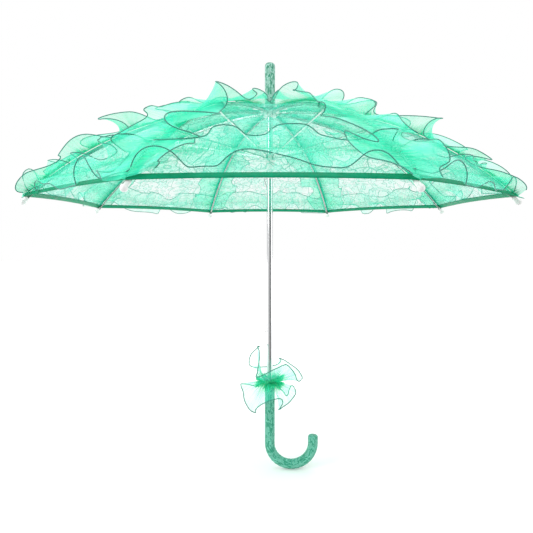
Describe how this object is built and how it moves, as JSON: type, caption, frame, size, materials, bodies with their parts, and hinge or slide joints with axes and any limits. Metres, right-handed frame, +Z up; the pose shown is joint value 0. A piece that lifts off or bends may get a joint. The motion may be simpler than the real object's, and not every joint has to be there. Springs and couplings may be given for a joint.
{
  "type": "lace parasol",
  "caption": "Open lace parasol with curved ribs, folding stretchers and runner, gathered organza ruffles on its seams and hem, and a lace-covered hook handle.",
  "frame": {"origin": "on the shaft's axis, at the middle of the handle's straight grip", "axes": "+Z up the shaft to the ferrule, +X the way the handle's hook points, -Y the face of one gore"},
  "size_m": [0.7414, 0.7414, 0.6728],
  "materials": {
    "shaft_chrome": "bright drawn tube",
    "rib_steel": "nickel-plated fluted strip",
    "wire_steel": "plain spring wire",
    "white_plastic": "moulded, glossy",
    "core_plastic": "smooth moulded core",
    "lace_cover": "lace over satin, sewn tight",
    "lace": "fine net with embroidered flowers",
    "organza": "crisp see-through organza with a dark wired hem"
  },
  "bodies": {
    "frame": {"shaft_tube": "shaft_chrome", "crown_hub": "white_plastic", "hub_wire": "wire_steel", "ferrule_core": "core_plastic", "ferrule_sleeve": "lace_cover", "handle_core": "core_plastic", "handle_wrap": "lace_cover", "handle_frill": "organza"},
    "rib_arm_1": {"rib_1": "rib_steel", "rib_tip_1": "white_plastic", "rib_joiner_1": "rib_steel", "canopy_gore_1": "lace", "canopy_ruffle_1": "organza"},
    "rib_arm_2": {"rib_2": "rib_steel", "rib_tip_2": "white_plastic", "rib_joiner_2": "rib_steel", "canopy_gore_2": "lace", "canopy_ruffle_2": "organza"},
    "rib_arm_3": {"rib_3": "rib_steel", "rib_tip_3": "white_plastic", "rib_joiner_3": "rib_steel", "canopy_gore_3": "lace", "canopy_ruffle_3": "organza"},
    "rib_arm_4": {"rib_4": "rib_steel", "rib_tip_4": "white_plastic", "rib_joiner_4": "rib_steel", "canopy_gore_4": "lace", "canopy_ruffle_4": "organza"},
    "rib_arm_5": {"rib_5": "rib_steel", "rib_tip_5": "white_plastic", "rib_joiner_5": "rib_steel", "canopy_gore_5": "lace", "canopy_ruffle_5": "organza"},
    "rib_arm_6": {"rib_6": "rib_steel", "rib_tip_6": "white_plastic", "rib_joiner_6": "rib_steel", "canopy_gore_6": "lace", "canopy_ruffle_6": "organza"},
    "rib_arm_7": {"rib_7": "rib_steel", "rib_tip_7": "white_plastic", "rib_joiner_7": "rib_steel", "canopy_gore_7": "lace", "canopy_ruffle_7": "organza"},
    "rib_arm_8": {"rib_8": "rib_steel", "rib_tip_8": "white_plastic", "rib_joiner_8": "rib_steel", "canopy_gore_8": "lace", "canopy_ruffle_8": "organza"},
    "stretcher_arm_1": {"stretcher_1": "rib_steel"},
    "stretcher_arm_2": {"stretcher_2": "rib_steel"},
    "stretcher_arm_3": {"stretcher_3": "rib_steel"},
    "stretcher_arm_4": {"stretcher_4": "rib_steel"},
    "stretcher_arm_5": {"stretcher_5": "rib_steel"},
    "stretcher_arm_6": {"stretcher_6": "rib_steel"},
    "stretcher_arm_7": {"stretcher_7": "rib_steel"},
    "stretcher_arm_8": {"stretcher_8": "rib_steel"},
    "slider": {"runner": "white_plastic", "runner_wire": "wire_steel"},
    "upper_catch": {"top_catch": "wire_steel"},
    "lower_catch": {"bottom_catch": "wire_steel"}
  },
  "joints": [
    {"name": "canopy_fold", "type": "hinge", "parent": "frame", "child": "rib_arm_1", "pos_m": [0.00739, 0.00306, 0.49144], "axis": [-0.3827, 0.9239, 0], "range_deg": [0, 63.2], "deforming": ["canopy_gore_1", "canopy_gore_2", "canopy_gore_3", "canopy_gore_4", "canopy_gore_5", "canopy_gore_6", "canopy_gore_7", "canopy_gore_8", "canopy_ruffle_1", "canopy_ruffle_2", "canopy_ruffle_3", "canopy_ruffle_4", "canopy_ruffle_5", "canopy_ruffle_6", "canopy_ruffle_7", "canopy_ruffle_8", "top_catch", "bottom_catch"]},
    {"name": "stretcher_1_swing", "type": "hinge", "parent": "rib_arm_1", "child": "stretcher_arm_1", "pos_m": [0.16168, 0.06697, 0.45657], "axis": [-0.3827, 0.9239, 0], "range_deg": [-126.5, 0]},
    {"name": "rib_2_fold", "type": "hinge", "parent": "frame", "child": "rib_arm_2", "pos_m": [0.00306, 0.00739, 0.49144], "axis": [-0.9239, 0.3827, 0], "range_deg": [0, 63.2]},
    {"name": "stretcher_2_swing", "type": "hinge", "parent": "rib_arm_2", "child": "stretcher_arm_2", "pos_m": [0.06697, 0.16168, 0.45657], "axis": [-0.9239, 0.3827, 0], "range_deg": [-126.5, 0]},
    {"name": "rib_3_fold", "type": "hinge", "parent": "frame", "child": "rib_arm_3", "pos_m": [-0.00306, 0.00739, 0.49144], "axis": [-0.9239, -0.3827, 0], "range_deg": [0, 63.2]},
    {"name": "stretcher_3_swing", "type": "hinge", "parent": "rib_arm_3", "child": "stretcher_arm_3", "pos_m": [-0.06697, 0.16168, 0.45657], "axis": [-0.9239, -0.3827, 0], "range_deg": [-126.5, 0]},
    {"name": "rib_4_fold", "type": "hinge", "parent": "frame", "child": "rib_arm_4", "pos_m": [-0.00739, 0.00306, 0.49144], "axis": [-0.3827, -0.9239, 0], "range_deg": [0, 63.2]},
    {"name": "stretcher_4_swing", "type": "hinge", "parent": "rib_arm_4", "child": "stretcher_arm_4", "pos_m": [-0.16168, 0.06697, 0.45657], "axis": [-0.3827, -0.9239, 0], "range_deg": [-126.5, 0]},
    {"name": "rib_5_fold", "type": "hinge", "parent": "frame", "child": "rib_arm_5", "pos_m": [-0.00739, -0.00306, 0.49144], "axis": [0.3827, -0.9239, 0], "range_deg": [0, 63.2]},
    {"name": "stretcher_5_swing", "type": "hinge", "parent": "rib_arm_5", "child": "stretcher_arm_5", "pos_m": [-0.16168, -0.06697, 0.45657], "axis": [0.3827, -0.9239, 0], "range_deg": [-126.5, 0]},
    {"name": "rib_6_fold", "type": "hinge", "parent": "frame", "child": "rib_arm_6", "pos_m": [-0.00306, -0.00739, 0.49144], "axis": [0.9239, -0.3827, 0], "range_deg": [0, 63.2]},
    {"name": "stretcher_6_swing", "type": "hinge", "parent": "rib_arm_6", "child": "stretcher_arm_6", "pos_m": [-0.06697, -0.16168, 0.45657], "axis": [0.9239, -0.3827, 0], "range_deg": [-126.5, 0]},
    {"name": "rib_7_fold", "type": "hinge", "parent": "frame", "child": "rib_arm_7", "pos_m": [0.00306, -0.00739, 0.49144], "axis": [0.9239, 0.3827, 0], "range_deg": [0, 63.2]},
    {"name": "stretcher_7_swing", "type": "hinge", "parent": "rib_arm_7", "child": "stretcher_arm_7", "pos_m": [0.06697, -0.16168, 0.45657], "axis": [0.9239, 0.3827, 0], "range_deg": [-126.5, 0]},
    {"name": "rib_8_fold", "type": "hinge", "parent": "frame", "child": "rib_arm_8", "pos_m": [0.00739, -0.00306, 0.49144], "axis": [0.3827, 0.9239, 0], "range_deg": [0, 63.2]},
    {"name": "stretcher_8_swing", "type": "hinge", "parent": "rib_arm_8", "child": "stretcher_arm_8", "pos_m": [0.16168, -0.06697, 0.45657], "axis": [0.3827, 0.9239, 0], "range_deg": [-126.5, 0]},
    {"name": "runner_slide", "type": "hinge", "parent": "stretcher_arm_1", "child": "slider", "pos_m": [0.00739, 0.00306, 0.4217], "axis": [-0.3827, 0.9239, 0], "range_deg": [0, 63.3]},
    {"name": "top_catch_press", "type": "hinge", "parent": "frame", "child": "upper_catch", "pos_m": [0.00335, 0, 0.3533], "axis": [0, 1, 0], "range_deg": [0, 7.5], "stiffness_Nm_per_rad": 0.3},
    {"name": "bottom_catch_press", "type": "hinge", "parent": "frame", "child": "lower_catch", "pos_m": [0.00335, 0, 0.1692], "axis": [0, -1, 0], "range_deg": [0, 7.5], "stiffness_Nm_per_rad": 0.3}
  ],
  "couplings": [
    {"joint": "stretcher_1_swing", "follows": "canopy_fold", "ratio": -2},
    {"joint": "rib_2_fold", "follows": "canopy_fold", "ratio": 1},
    {"joint": "stretcher_2_swing", "follows": "canopy_fold", "ratio": -2},
    {"joint": "rib_3_fold", "follows": "canopy_fold", "ratio": 1},
    {"joint": "stretcher_3_swing", "follows": "canopy_fold", "ratio": -2},
    {"joint": "rib_4_fold", "follows": "canopy_fold", "ratio": 1},
    {"joint": "stretcher_4_swing", "follows": "canopy_fold", "ratio": -2},
    {"joint": "rib_5_fold", "follows": "canopy_fold", "ratio": 1},
    {"joint": "stretcher_5_swing", "follows": "canopy_fold", "ratio": -2},
    {"joint": "rib_6_fold", "follows": "canopy_fold", "ratio": 1},
    {"joint": "stretcher_6_swing", "follows": "canopy_fold", "ratio": -2},
    {"joint": "rib_7_fold", "follows": "canopy_fold", "ratio": 1},
    {"joint": "stretcher_7_swing", "follows": "canopy_fold", "ratio": -2},
    {"joint": "rib_8_fold", "follows": "canopy_fold", "ratio": 1},
    {"joint": "stretcher_8_swing", "follows": "canopy_fold", "ratio": -2},
    {"joint": "runner_slide", "follows": "canopy_fold", "ratio": 1}
  ]
}
